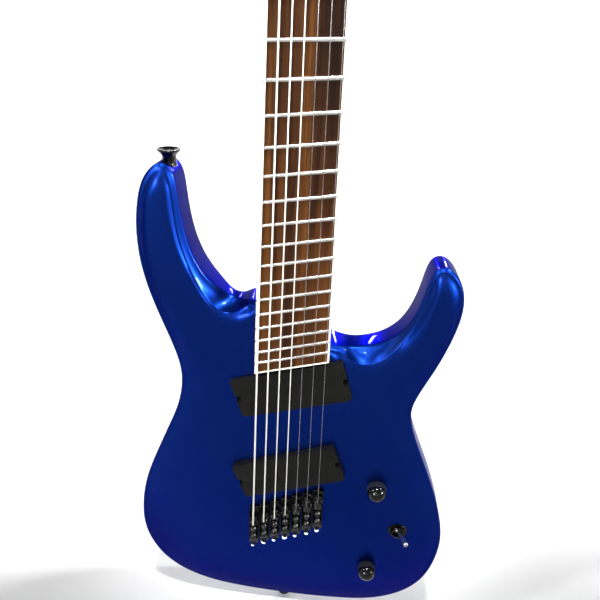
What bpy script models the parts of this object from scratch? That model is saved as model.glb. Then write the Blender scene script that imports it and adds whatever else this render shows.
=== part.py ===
"""Seven-string electric guitar, multi-scale, standing upright.

Metres, +Z along the neck towards the headstock, the face towards -Y, +X to the treble side.
The origin is the outer face of the end strap button, on the neck's centreline.
Dimensions below are in millimetres in the bridge frame: x across, y into the guitar from the
plane of the fret tops, z up from the middle of the bridge. spot() turns them into world metres.
"""

from math import cos, pi, radians, sin

import bmesh
import bpy
from mathutils import Matrix, Vector

# ---- where the bridge frame sits in the world ----
DEPTH = 25.0
RISE = 155.0

# ---- body ----
BODY_TOP = 7.5
BODY_BACK = 43.0
RIDGE_Y = 12.0
SIDE_Y = 38.0
RIDGE_CARVED = 9.5
POCKET_HALF = 27.3
POCKET_FLOOR = 33.3
POCKET_END = 164.0
CAVITY_Y = 13.5
COVER_Y = 41.0

# ---- strings, frets and neck ----
STRINGS = 7
FRETS = 24
SCALE_MID = 667.0
SCALE_FAN = 19.0
NEUTRAL = 7.34
SPREAD_BRIDGE = 60.1
SPREAD_NUT = 38.0
STRING_RADII = (0.80, 0.65, 0.52, 0.42, 0.26, 0.22, 0.19)
STRING_Y_SADDLE = -3.0
STRING_Y_NUT = -1.4
BOARD_TOP = 1.2
BOARD_BOTTOM = 7.2
NECK_TOP = 7.5
HEAD_TILT = radians(9.0)
HEAD_START = 680.0
HEAD_THICK = 14.0
POST_FIRST = 36.0
POST_STEP = 24.0

# ---- hardware: (x, z) on the body's front ----
NECK_PICKUP = (-0.1, 131.6, 16.8, 97.0, 38.6, 4.0)
BRIDGE_PICKUP = (0.6, 40.6, 20.0, 97.0, 38.6, 2.0)
VOLUME = (82.3, 28.8)
TONE = (83.6, -79.9)
TOGGLE = (107.9, -24.2)
JACK_Z = -45.0
BUTTON_HORN = (-97.3, 308.5)
END_SEAT_Z = -142.3

# The outline, anticlockwise as seen from the front, starting at the bottom: the wall (x, z), the
# edge of the flat middle (x, z) that its arch runs to, and the carved edge between them: how far
# in from the wall its ridge is, and the depth at which it meets the wall. It is wide and deep in
# the two cutaways.
OUTLINE = (
    (30, -143, 22, -98, 1.8, 14), (67, -141, 45, -96, 1.8, 14), (98, -135, 68, -90, 1.8, 14),
    (125, -119, 86, -78, 1.8, 14), (143, -95, 97, -60, 1.8, 14), (151, -62, 101, -36, 1.8, 14),
    (151, -30, 100, -10, 1.8, 14), (143, 3, 94, 14, 1.8, 14), (130, 39, 84, 40, 1.8, 14),
    (115, 74, 72, 66, 1.8, 14), (105, 103, 66, 92, 1.8, 14), (104.5, 121, 66, 112, 1.8, 14),
    (110, 139, 72, 128, 1.8, 14), (118.5, 162, 92, 150, 1.8, 14), (126, 188, 106, 176, 1.8, 14),
    (129.5, 211, 113, 196, 1.8, 14), (128, 227, 115, 207, 1.8, 14), (122.5, 240, 114, 214, 1.8, 14),
    (112.6, 248.3, 112, 217, 2, 15), (103.8, 245.5, 110, 214, 2, 15),
    (100.2, 235.3, 108, 208, 2, 15), (97.6, 221, 106, 200, 2.4, 15),
    (93.8, 206.4, 102, 188, 2.7, 16), (87.3, 191.8, 95, 170, 3.2, 18),
    (77.3, 181, 80, 147, 6.1, 18), (65.5, 174.2, 64, 141, 11, 19.4),
    (53.8, 171, 50, 141, 10.8, 19.5), (45, 170.5, 41, 148, 5.3, 20), (37, 172, 34, 160, 1.8, 18),
    (30, 174.5, 28, 167, 1.8, 14), (20, 181, 18, 174, 1.8, 14), (0, 194, 0, 186, 1.8, 14),
    (-24, 206, -22, 196, 1.8, 14), (-36.3, 208, -33, 194, 1.8, 18), (-45, 203.5, -41, 186, 4, 26),
    (-53.7, 205.6, -50, 180, 7.9, 27), (-60.4, 212.4, -60, 186, 9.2, 21.5),
    (-68.2, 222.3, -72, 200, 7.7, 15.5), (-76.5, 235, -83, 218, 5.6, 14),
    (-82.8, 250.5, -91, 236, 4.9, 14), (-86.7, 267.5, -97, 254, 4.3, 14),
    (-89, 285.5, -101, 270, 3.8, 14), (-90.6, 301, -103, 281, 3.8, 14),
    (-95, 310, -104.5, 286, 3, 14), (-103, 313, -106, 287, 2.2, 14),
    (-113.5, 303, -107.5, 284, 1.8, 14), (-120, 286, -109, 272, 1.8, 14),
    (-123.5, 260, -108, 250, 1.8, 14), (-122, 231, -102, 224, 1.8, 14),
    (-115, 201, -90, 194, 1.8, 14), (-105, 171, -76, 164, 1.8, 14), (-97.5, 145, -66, 138, 1.8, 14),
    (-96.5, 124, -62, 116, 1.8, 14), (-101, 100, -64, 92, 1.8, 14), (-112, 72, -72, 66, 1.8, 14),
    (-126, 38, -84, 38, 1.8, 14), (-138.5, 4, -93, 10, 1.8, 14), (-145, -32, -98, -18, 1.8, 14),
    (-145, -62, -98, -42, 1.8, 14), (-136, -91, -92, -64, 1.8, 14),
    (-114, -117.5, -78, -82, 1.8, 14), (-81, -133.5, -56, -94, 1.8, 14),
    (-45, -140, -32, -98, 1.8, 14), (-8, -142.5, -5, -99, 1.8, 14),
)

# The neck and headstock, as sections: (distance, left, right, depth, squareness).
# Distances on the neck are bridge-frame z; on the headstock they run up its tilted face.
NECK_SECTIONS = (
    (164.4, -27.0, 27.0, 25.5, 9.0), (212.0, -27.0, 27.0, 25.5, 9.0),
    (218.0, -28.4, 28.4, 25.0, 6.0), (232.0, -28.4, 28.4, 20.5, 3.4),
    (250.0, -28.1, 28.1, 16.5, 2.5), (436.0, -24.9, 24.9, 15.0, 2.3),
    (640.0, -21.5, 21.5, 13.5, 2.3), (668.0, -21.3, 21.3, 14.5, 2.4),
)
HEAD_SECTIONS = (
    (0.0, -22.0, 21.8, 15.5, 3.0), (10.0, -24.5, 22.0, 14.6, 6.0), (24.0, -31.0, 22.5, 14.0, 14.0),
    (34.0, -33.5, 22.8, 14.0, 14.0), (70.0, -27.0, 24.5, 14.0, 14.0),
    (110.0, -18.5, 28.0, 14.0, 14.0), (150.0, -9.5, 32.0, 14.0, 14.0),
    (180.0, -1.5, 34.5, 14.0, 14.0), (194.0, 3.5, 34.0, 14.0, 14.0),
    (204.0, 10.0, 30.0, 14.0, 14.0), (208.0, 16.0, 25.0, 13.6, 12.0),
)


def spot(x, y, z):
    return Vector((x, y - DEPTH, z + RISE)) / 1000


def head_spot(u, w, v):
    """A point on the headstock: u across, w behind its face, v up it from the nut."""
    y = NECK_TOP + v * sin(HEAD_TILT) + w * cos(HEAD_TILT)
    return spot(u, y, HEAD_START + v * cos(HEAD_TILT) - w * sin(HEAD_TILT))


# ---- mesh helpers ----
def clear():
    for obj in list(bpy.data.objects):
        bpy.data.objects.remove(obj)


def finish(work, name, hidden=False):
    bmesh.ops.remove_doubles(work, verts=work.verts, dist=1e-6)
    bmesh.ops.recalc_face_normals(work, faces=work.faces)
    mesh = bpy.data.meshes.new(name)
    work.to_mesh(mesh)
    work.free()
    obj = bpy.data.objects.new(name, mesh)
    bpy.context.scene.collection.objects.link(obj)
    if hidden:
        obj.hide_render = True
        obj.display_type = "WIRE"
    return obj


def skin(work, rings, closed=False):
    """Joins rings of points, all the same length, and caps the ends."""
    rows = [[work.verts.new(point) for point in ring] for ring in rings]
    pairs = list(zip(rows, rows[1:]))
    if closed:
        pairs.append((rows[-1], rows[0]))
    for low, high in pairs:
        for i in range(len(low)):
            j = (i + 1) % len(low)
            work.faces.new((low[i], low[j], high[j], high[i]))
    if not closed:
        work.faces.new(rows[0][::-1])
        work.faces.new(rows[-1])


def lofted(name, rings, hidden=False):
    work = bmesh.new()
    skin(work, rings)
    return finish(work, name, hidden)


def plate(name, outline, low, high, place=None, hidden=False):
    """A flat shape with corners (a, b), from depth low to depth high."""
    place = place or (lambda a, b, depth: spot(a, depth, b))
    return lofted(name, [[place(a, b, depth) for a, b in outline] for depth in (low, high)], hidden)


def turned(name, profile, base, axis, sides=32, hidden=False):
    """A lathe shape: (radius, height) in mm along an axis; it starts and ends on the axis."""
    turn = Vector((0, 0, 1)).rotation_difference(Vector(axis).normalized())
    work = bmesh.new()
    rings = []
    for radius, height in profile[1:-1]:
        ring = []
        for i in range(sides):
            angle = 2 * pi * i / sides
            point = Vector((radius * cos(angle), radius * sin(angle), height)) / 1000
            ring.append(base + turn @ point)
        rings.append(ring)
    skin(work, rings)
    return finish(work, name, hidden)


def lathe(*pairs):
    """Adds the two points on the axis that close a profile."""
    return [(0.0, pairs[0][1]), *pairs, (0.0, pairs[-1][1])]


def combine(obj, tool, operation):
    modifier = obj.modifiers.new(tool.name, "BOOLEAN")
    modifier.operation = operation
    modifier.solver = "EXACT"
    modifier.object = tool


def cut(obj, tool):
    combine(obj, tool, "DIFFERENCE")


def add(obj, tool):
    combine(obj, tool, "UNION")


def rounded(length, width, radius, steps=4):
    """A rectangle with rounded corners, centred, long way along the first axis."""
    points = []
    for quarter, (sx, sy) in enumerate(((1, 1), (-1, 1), (-1, -1), (1, -1))):
        cx = sx * (length / 2 - radius)
        cy = sy * (width / 2 - radius)
        for step in range(steps + 1):
            angle = (quarter + step / steps) * pi / 2
            points.append((cx + radius * cos(angle), cy + radius * sin(angle)))
    return points


def turn_points(points, x, z, degrees):
    c = cos(radians(degrees))
    s = sin(radians(degrees))
    return [(x + a * c - b * s, z + a * s + b * c) for a, b in points]


def block(name, low, high, place=spot, hidden=False):
    """A box between two corners, given in the order that place takes."""
    (a, b, c), (d, e, f) = low, high
    rings = [[place(p, q, r) for p, q in ((a, b), (d, b), (d, e), (a, e))] for r in (c, f)]
    return lofted(name, rings, hidden)


def tube_rings(path, radius, sides):
    """Rings of a round bar of this radius along a path of world points."""
    rings = []
    side = None
    for i, point in enumerate(path):
        ahead = (path[min(i + 1, len(path) - 1)] - path[max(i - 1, 0)]).normalized()
        if side is None:
            side = ahead.cross(Vector((0, 1, 0))).normalized()
        side = (side - ahead * side.dot(ahead)).normalized()
        other = ahead.cross(side)
        ring = []
        for k in range(sides):
            angle = 2 * pi * k / sides
            ring.append(point + (side * cos(angle) + other * sin(angle)) * radius / 1000)
        rings.append(ring)
    return rings


# ---- the scale: frets and strings ----
def string_side(number):
    """-1 for the lowest string, +1 for the highest."""
    return -1 + 2 * number / (STRINGS - 1)


def fret_z(fret, side):
    neutral = SCALE_MID * 2 ** (-NEUTRAL / 12)
    length = SCALE_MID - SCALE_FAN * side
    return neutral + length * (2 ** (-fret / 12) - 2 ** (-NEUTRAL / 12))


def string_x(side, z):
    return side * (SPREAD_BRIDGE + (SPREAD_NUT - SPREAD_BRIDGE) * z / SCALE_MID) / 2


def board_half(z):
    return 30.1 - (z - 160.0) * 0.01716


def across_board(fret, hand, shift=0.0):
    """Where the line of a fret, moved along the neck by shift, meets the board's edge."""
    z_low = fret_z(fret, -1) + shift
    z_high = fret_z(fret, 1) + shift
    x_low = string_x(-1, z_low)
    x_high = string_x(1, z_high)
    slope = (z_high - z_low) / (x_high - x_low)
    z = z_low if hand < 0 else z_high
    for _ in range(4):
        z = z_low + (hand * board_half(z) - x_low) * slope
    return hand * board_half(z), z


# ---- body ----
def spline(rows, per_row):
    """Points on a closed smooth curve past the rows."""
    count = len(rows)

    def average(i):
        before, here, after = rows[i - 1], rows[i], rows[(i + 1) % count]
        return [(a + 4 * b + c) / 6 for a, b, c in zip(before, here, after)]

    handles = [[2 * p - q for p, q in zip(rows[i], average(i))] for i in range(count)]
    points = []
    for i in range(count):
        four = [handles[(i + k) % count] for k in (-1, 0, 1, 2)]
        for step in range(per_row):
            t = step / per_row
            weights = (
                (1 - t) ** 3 / 6,
                (3 * t**3 - 6 * t**2 + 4) / 6,
                (-3 * t**3 + 3 * t**2 + 3 * t + 1) / 6,
                t**3 / 6,
            )
            points.append([sum(w * h[k] for w, h in zip(weights, four)) for k in range(len(rows[0]))])
    return points


def ease(t):
    t = min(1.0, max(0.0, t))
    return t * t * (3 - 2 * t)


def body_rings(per_row):
    """Closed rings from the back's flat, over the edge and the carved front, to the flat middle."""
    rows = spline(OUTLINE, per_row)
    count = len(rows)
    rings = [[] for _ in range(8)]
    for i, (x, z, inner_x, inner_z, bevel, lip) in enumerate(rows):
        ahead = Vector((rows[(i + 1) % count][0] - rows[i - 1][0], rows[(i + 1) % count][1] - rows[i - 1][1]))
        inward = Vector((-ahead.y, ahead.x)).normalized()
        wall = Vector((x, z))
        flat = Vector((inner_x, inner_z))
        near_neck = ease((abs(x) - 25.0) / 15.0) if z > 150 else 1.0
        full = RIDGE_Y + (RIDGE_CARVED - RIDGE_Y) * ease((bevel - 2.0) / 5.0)
        ridge = BODY_TOP + (full - BODY_TOP) * near_neck
        edge = wall + inward * bevel
        levels = (
            (wall + inward * 6.0, BODY_BACK),
            (wall + inward * 1.6, BODY_BACK - 1.6),
            (wall, SIDE_Y),
            (wall, lip),
            (edge, ridge),
            (edge.lerp(flat, 0.3), BODY_TOP + (ridge - BODY_TOP) * 0.5),
            (edge.lerp(flat, 0.65), BODY_TOP + (ridge - BODY_TOP) * 0.13),
            (flat, BODY_TOP),
        )
        for ring, (place, depth) in zip(rings, levels):
            ring.append(spot(place.x, depth, place.y))
    return rings


def control_outline(margin):
    """The control cavity on the back, grown by a margin."""
    corners = rounded(56.0 + 2 * margin, 152.0 + 2 * margin, 14.0 + margin, 5)
    return turn_points(corners, 88.0, -36.0, 0.0)


def pickup_outline(pickup, grow, radius):
    x, z, degrees, length, width, _ = pickup
    return turn_points(rounded(length + 2 * grow, width + 2 * grow, radius), x, z, degrees)


def make_body():
    body = lofted("body", body_rings(2))
    pocket = ((-POCKET_HALF, POCKET_END), (POCKET_HALF, POCKET_END), (POCKET_HALF, 230.0), (-POCKET_HALF, 230.0))
    cut(body, plate("pocket_cut", pocket, -5.0, POCKET_FLOOR, hidden=True))
    for name, pickup in (("neck_route_cut", NECK_PICKUP), ("bridge_route_cut", BRIDGE_PICKUP)):
        cut(body, plate(name, pickup_outline(pickup, 0.5, 3.5), -5.0, 27.0, hidden=True))
    cut(body, plate("cavity_cut", control_outline(0.0), CAVITY_Y, 50.0, hidden=True))
    cut(body, plate("cover_cut", control_outline(6.0), COVER_Y - 0.3, 50.0, hidden=True))
    for name, (x, z), radius in (("volume", VOLUME, 5.0), ("tone", TONE, 5.0), ("toggle", TOGGLE, 6.2)):
        hole = lathe((radius, 0.0), (radius, 30.0))
        cut(body, turned(name + "_hole_cut", hole, spot(x, 0.0, z), (0, 1, 0), 24, True))
    socket = lathe((11.0, -10.0), (11.0, 3.6), (6.3, 3.6), (6.3, 38.0))
    cut(body, turned("jack_cut", socket, spot(151.5, DEPTH, JACK_Z), (-1, 0, 0), 24, True))
    seat = lathe((6.6, -8.0), (6.6, 0.0), (2.4, 0.0), (2.4, 24.0))
    cut(body, turned("end_screw_cut", seat, spot(0.0, DEPTH, END_SEAT_Z), (0, 0, 1), 20, True))
    top = spot(BUTTON_HORN[0], DEPTH, BUTTON_HORN[1])
    cut(body, turned("horn_screw_cut", seat, top, (0, 0, -1), 20, True))
    return body


# ---- neck ----
def section(left, right, depth, squareness, place):
    """A D-shaped section with a flat top, as a ring of world points."""
    ring = []
    middle = (left + right) / 2
    half = (right - left) / 2
    for i in range(19):
        angle = pi * i / 18
        c = cos(angle)
        across = (1 if c > 0 else -1) * abs(c) ** (2 / squareness)
        ring.append(place(middle + half * across, depth * sin(angle) ** (2 / squareness)))
    return ring


def make_neck():
    rings = []
    for z, left, right, depth, squareness in NECK_SECTIONS:
        rings.append(section(left, right, depth, squareness, lambda u, w: spot(u, NECK_TOP + w, z)))
    for v, left, right, depth, squareness in HEAD_SECTIONS:
        rings.append(section(left, right, depth, squareness, lambda u, w: head_spot(u, w, v)))
    neck = lofted("neck", rings)
    for number in range(STRINGS):
        u, v = post_place(number)
        hole = lathe((5.1, -4.0), (5.1, 30.0))
        name = f"post_hole_cut_{number + 1}"
        cut(neck, turned(name, hole, head_spot(u, 0.0, v), head_axis(0, 1, 0), 12, True))
    return neck


def make_fingerboard():
    corners = [across_board(24, -1, -10.7), across_board(24, 1, -10.7)]
    corners += [across_board(0, 1, -0.2), across_board(0, -1, -0.2)]
    board = plate("fingerboard", corners, BOARD_TOP, BOARD_BOTTOM)
    work = bmesh.new()
    for fret in range(1, FRETS + 1):
        rings = []
        for hand in (-1, 1):
            x, z = across_board(fret, hand)
            x -= hand * 0.4
            profile = ((-1.2, 1.9), (1.2, 1.9), (1.2, 0.7), (0.5, 0.0), (-0.5, 0.0), (-1.2, 0.7))
            rings.append([spot(x, y, z + along) for along, y in profile])
        skin(work, rings)
    add(board, finish(work, "frets_add", True))
    return board


def make_nut():
    corners = [across_board(0, -1, 0.2), across_board(0, 1, 0.2)]
    corners += [across_board(0, 1, 5.2), across_board(0, -1, 5.2)]
    nut = plate("nut", corners, -1.6, BOARD_BOTTOM)
    work = bmesh.new()
    for number, radius in enumerate(STRING_RADII):
        side = string_side(number)
        z = fret_z(0, side)
        x = string_x(side, z)
        half = radius + 0.25
        low = STRING_Y_NUT + half
        profile = ((x - half, -4.0), (x + half, -4.0), (x + half, low), (x - half, low))
        skin(work, [[spot(a, b + drop, z + along) for a, b in profile] for along, drop in ((-7, 0.0), (12, 2.4))])
    cut(nut, finish(work, "nut_slots_cut", True))
    return nut


# ---- headstock hardware ----
def head_axis(u, w, v):
    return (head_spot(u, w, v) - head_spot(0, 0, 0)).normalized()


def post_place(number):
    """Where a tuner's post stands on the headstock face: beside the line of its string."""
    v = POST_FIRST + POST_STEP * number
    return string_x(string_side(number), HEAD_START + v) - 3.1 - STRING_RADII[number], v


def row_angle():
    """How far the row of posts leans from straight up the headstock."""
    low_u, low_v = post_place(0)
    high_u, high_v = post_place(STRINGS - 1)
    return Vector((high_u - low_u, high_v - low_v)).normalized()


def make_tuners():
    lean = row_angle()
    out = Vector((-lean.y, lean.x))
    for number in range(STRINGS):
        label = STRINGS - number
        u, v = post_place(number)

        def place(along, behind, away):
            across = Vector((u, v)) + lean * along + out * away
            return head_spot(across.x, behind, across.y)

        housing = block(f"tuner_housing_{label}", (-9.0, 14.3, -7.0), (9.0, 24.3, 9.5), place)
        stem = lathe((4.8, -16.0), (4.8, 0.3), (7.0, 0.3), (7.0, 2.3), (4.8, 2.3), (4.8, 3.4))
        add(housing, turned(f"bushing_add_{label}", stem, place(0, 0, 0), head_axis(0, -1, 0), 12, True))
        bore = lathe((3.3, -19.6), (3.3, 9.0))
        cut(housing, turned(f"bushing_cut_{label}", bore, place(0, 0, 0), head_axis(0, -1, 0), 12, True))
        worm = lathe((2.1, -6.0), (2.1, 6.0))
        side = (place(0, 0, 1) - place(0, 0, 0)).normalized()
        cut(housing, turned(f"worm_cut_{label}", worm, place(4.6, 19.6, 9.5), side, 12, True))
        post = lathe((3.0, -19.3), (3.0, 4.7), (2.4, 5.4), (2.4, 9.8), (3.0, 10.5), (3.0, 13.0), (2.5, 13.5))
        turned(f"tuner_post_{label}", post, place(0, 0, 0), head_axis(0, -1, 0), 14)
        shaft = lathe((1.8, -5.5), (1.8, 5.6))
        button = turned(f"tuner_button_{label}", shaft, place(4.6, 19.6, 9.5), side, 12)
        rings = []
        for away, half_a, half_b in ((4.6, 2.4, 2.4), (6.5, 6.0, 3.2), (12.0, 8.6, 3.4), (17.5, 7.4, 3.0), (20.0, 4.5, 1.8)):
            ring = []
            for k in range(12):
                angle = 2 * pi * k / 12
                ring.append(place(4.6 + half_a * cos(angle), 19.6 + half_b * sin(angle), 9.5 + away))
            rings.append(ring)
        add(button, lofted(f"paddle_add_{label}", rings, True))


def make_truss_rod_cover():
    corners = ((-8.5, 4.0), (8.5, 4.0), (9.0, 12.0), (4.5, 22.0), (2.0, 30.0), (-2.0, 30.0), (-4.5, 22.0), (-9.0, 12.0))
    plate("truss_rod_cover", corners, -2.0, -0.3, lambda a, b, w: head_spot(a, w, b))


# ---- bridge and strings ----
def bridge_spots(number):
    """The unit's side, its x where the string breaks, and the z of its saddle and two ends."""
    side = string_side(number)
    saddle = -6.5 + 18.0 * side
    front = 3.4 + 14.8 * side
    return side, string_x(side, saddle), saddle, front, front - 48.0


def unit_place(number):
    """Places (across, y, z) in a unit that lies along its string."""
    side, x, saddle, _, _ = bridge_spots(number)
    slope = side * (SPREAD_NUT - SPREAD_BRIDGE) / 2 / SCALE_MID

    def place(across, y, z):
        return spot(x + across + slope * (z - saddle), y, z)

    return place


def side_profile(name, points, half, place, hidden=False):
    """A shape with a (z, y) side view, running from -half to +half across."""
    return lofted(name, [[place(across, y, z) for z, y in points] for across in (-half, half)], hidden)


def string_path(number):
    """From the ball end, over the saddle and the nut, and round the post."""
    side, _, saddle, _, _ = bridge_spots(number)
    place = unit_place(number)
    radius = STRING_RADII[number]
    nut_z = fret_z(0, side) + 2.7
    path = [place(0, 2.9, saddle - 18.5), place(0, 1.2, saddle - 10.5), place(0, STRING_Y_SADDLE, saddle)]
    path.append(spot(string_x(side, nut_z), STRING_Y_NUT, nut_z))
    u, v = post_place(number)
    reach = 2.4 + radius + 0.2
    pitch = 2 * radius + 0.2
    for step in range(16):
        angle = 2 * pi * step / 12
        rise = -8.7 + pitch * step / 12
        path.append(head_spot(u + reach * cos(angle), rise, v + reach * sin(angle)))
    return path


def make_bridge():
    for number, radius in enumerate(STRING_RADII):
        label = STRINGS - number
        _, _, saddle, front, rear = bridge_spots(number)
        place = unit_place(number)
        crest = STRING_Y_SADDLE + radius + 0.12
        shape = (
            (front, 7.2), (front, 5.0), (front - 1.0, 4.6), (saddle - 13.3, 4.6), (saddle - 13.3, 0.4),
            (saddle - 15.0, -0.8), (saddle - 21.0, -0.8), (rear + 3.0, 1.4), (rear, 4.0), (rear, 7.2),
        )
        base = side_profile(f"bridge_base_{label}", shape, 4.6, place)
        seat = turned_between(f"ball_cut_{label}", place(0, 2.9, saddle - 8.0), place(0, 2.9, saddle - 22.0), 2.5)
        cut(base, seat)
        shape = (
            (saddle + 4.5, 4.3), (saddle + 4.5, 1.5), (saddle + 2.0, crest + 1.6), (saddle + 0.8, crest),
            (saddle - 0.8, crest), (saddle - 3.0, crest + 0.5), (saddle - 8.0, crest + 0.9),
            (saddle - 11.5, crest + 2.8), (saddle - 13.0, 4.3),
        )
        piece = side_profile(f"saddle_{label}", shape, 4.4, place)
        low = place(0, 1.2 + 1.6, saddle - 14.5)
        high = place(0, STRING_Y_SADDLE - 0.65, saddle + 1.2)
        cut(piece, turned_between(f"saddle_bore_cut_{label}", low, high, radius + 0.6))


def turned_between(name, start, end, radius):
    length = (end - start).length * 1000
    return turned(name, lathe((radius, 0.0), (radius, length)), start, end - start, 12, True)


def make_strings():
    for number, radius in enumerate(STRING_RADII):
        label = STRINGS - number
        path = string_path(number)
        string = lofted(f"string_{label}", tube_rings(path, radius, 6))
        ball = lathe((1.2, -1.9), (1.9, -1.2), (1.9, 1.2), (1.2, 1.9))
        add(string, turned(f"ball_add_{label}", ball, path[0], (1, 0, 0), 10, True))


# ---- controls ----
def make_controls():
    front = (0, -1, 0)
    for name, (x, z) in (("volume", VOLUME), ("tone", TONE)):
        centre = spot(x, BODY_TOP, z)
        knob = lathe(
            (3.0, -11.0), (3.0, 3.6), (7.4, 3.6), (7.4, 0.6), (8.7, 0.6), (8.9, 1.4), (8.8, 6.0),
            (8.5, 8.3), (7.6, 10.5), (6.2, 12.3), (4.2, 13.6), (2.0, 14.2),
        )
        turned(name + "_knob", knob, centre, front, 24)
        pot = lathe(
            (8.2, -17.0), (8.2, -6.8), (4.7, -6.8), (4.7, 0.3), (6.8, 0.3), (6.8, 2.6), (4.7, 2.6),
            (4.7, 3.1), (3.1, 3.1), (3.1, -12.0),
        )
        turned(name + "_pot", pot, centre, front, 20)
    centre = spot(TOGGLE[0], BODY_TOP, TOGGLE[1])
    switch = lathe(
        (7.5, -24.0), (7.5, -6.8), (5.9, -6.8), (5.9, 0.3), (9.0, 0.3), (9.0, 1.3), (6.6, 1.3),
        (6.6, 3.7), (4.9, 3.7), (4.6, -7.0),
    )
    turned("toggle_switch", switch, centre, front, 20)
    lever = lathe(
        (1.6, -2.6), (2.4, -1.0), (2.4, 1.0), (1.9, 2.2), (1.9, 9.0), (2.3, 14.0), (2.5, 18.0),
        (2.4, 20.6), (1.5, 22.0),
    )
    pivot = spot(TOGGLE[0], BODY_TOP + 2.6, TOGGLE[1])
    turned("toggle_lever", lever, pivot, lever_axis(), 12)


def lever_axis():
    """The lever at rest leans 19 degrees from the face, towards the treble edge."""
    lean = radians(19.0)
    across = radians(20.0)
    return Vector((sin(lean) * cos(across), -cos(lean), sin(lean) * sin(across)))


def make_fittings():
    cover = plate("control_cover", control_outline(5.7), COVER_Y, BODY_BACK)
    for index, (x, z) in enumerate(((62.0, 38.0), (114.0, 38.0), (62.0, -110.0), (114.0, -110.0))):
        pocket = lathe((2.0, -1.0), (2.0, 0.8))
        tool = turned(f"cover_screw_cut_{index}", pocket, spot(x, BODY_BACK, z), (0, -1, 0), 12, True)
        cut(cover, tool)
    block("battery", (63.0, 14.2, -2.0), (79.0, 40.4, -50.0))
    socket = lathe((5.9, 33.0), (5.9, 3.3), (10.4, 3.3), (10.4, 0.9), (3.25, 0.9), (3.25, 28.0))
    turned("output_jack", socket, spot(151.5, DEPTH, JACK_Z), (-1, 0, 0), 20)
    shank = [
        (2.1, -20.0), (2.1, 0.4), (5.9, 0.4), (5.6, 1.0), (5.2, 2.4), (5.2, 6.6), (5.9, 8.4),
        (8.0, 10.8), (8.5, 11.6), (8.5, 12.3), (7.9, 12.7),
    ]
    slim = [(2.1 + (radius - 2.1) * 0.7, height) for radius, height in shank]
    turned("strap_button_end", lathe(*slim), spot(0.0, DEPTH, END_SEAT_Z), (0, 0, -1), 20)
    base = spot(BUTTON_HORN[0], DEPTH, BUTTON_HORN[1])
    turned("strap_button_horn", lathe(*shank), base, (0, 0, 1), 20)


def make_pickups():
    for name, pickup in (("neck_pickup", NECK_PICKUP), ("bridge_pickup", BRIDGE_PICKUP)):
        top = pickup[5]
        cover = plate(name, pickup_outline(pickup, 0.0, 3.0), top, top + 20.0)
        x, z, degrees, length, _, _ = pickup
        for hand in (-1, 1):
            centre = turn_points([(hand * (length / 2 + 0.2), 0.0)], x, z, degrees)[0]
            notch = lathe((2.3, -1.0), (2.3, 2.2))
            tool = turned(f"{name}_notch_cut_{hand}", notch, spot(centre[0], top, centre[1]), (0, 1, 0), 12, True)
            cut(cover, tool)


MATERIALS = (
    ("body", (0.01, 0.03, 0.30), 0.0, 0.12), ("neck", (0.01, 0.03, 0.30), 0.0, 0.12),
    ("fingerboard", (0.10, 0.045, 0.022), 0.0, 0.5), ("nut", (0.02, 0.02, 0.02), 0.0, 0.4),
    ("pickup", (0.02, 0.02, 0.021), 0.0, 0.5), ("knob", (0.012, 0.012, 0.013), 0.0, 0.3),
    ("pot", (0.55, 0.55, 0.56), 1.0, 0.35), ("lever", (0.3, 0.3, 0.31), 1.0, 0.2),
    ("switch", (0.02, 0.02, 0.022), 1.0, 0.3), ("cover", (0.015, 0.015, 0.016), 0.0, 0.5),
    ("battery", (0.12, 0.12, 0.13), 0.0, 0.4), ("hardware", (0.015, 0.015, 0.017), 1.0, 0.3),
    ("string", (0.62, 0.6, 0.57), 1.0, 0.3),
)
KINDS = (
    ("fingerboard", "fingerboard"), ("nut", "nut"), ("neck_pickup", "pickup"), ("bridge_pickup", "pickup"),
    ("volume_pot", "pot"), ("tone_pot", "pot"), ("toggle_lever", "lever"), ("toggle_switch", "switch"),
    ("volume_knob", "knob"), ("tone_knob", "knob"), ("control_cover", "cover"), ("truss_rod_cover", "cover"),
    ("battery", "battery"), ("string_", "string"), ("body", "body"), ("neck", "neck"),
)


def paint():
    values = {name: rest for name, *rest in MATERIALS}
    for obj in bpy.data.objects:
        if obj.hide_render or obj.type != "MESH":
            continue
        kind = next((kind for start, kind in KINDS if obj.name.startswith(start)), "hardware")
        colour, metallic, roughness = values[kind]
        material = bpy.data.materials.new(obj.name)
        material.use_nodes = True
        shader = material.node_tree.nodes["Principled BSDF"]
        shader.inputs["Base Color"].default_value = (*colour, 1.0)
        shader.inputs["Metallic"].default_value = metallic
        shader.inputs["Roughness"].default_value = roughness
        obj.data.materials.append(material)
        for polygon in obj.data.polygons:
            polygon.use_smooth = True
        obj.data.set_sharp_from_angle(angle=radians(35))


clear()
make_body()
make_neck()
make_fingerboard()
make_nut()
make_tuners()
make_truss_rod_cover()
make_bridge()
make_strings()
make_controls()
make_fittings()
make_pickups()
paint()
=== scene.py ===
"""The looks of the seven-string guitar: fine meshes, finishes, light and camera round the frame.

Places are in millimetres in the bridge frame, as in the design: x across, y into the guitar
from the plane of the fret tops, z up from the middle of the bridge. spot() turns them into
metres in the row frame.
"""

from math import cos, pi, radians, sin

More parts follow.
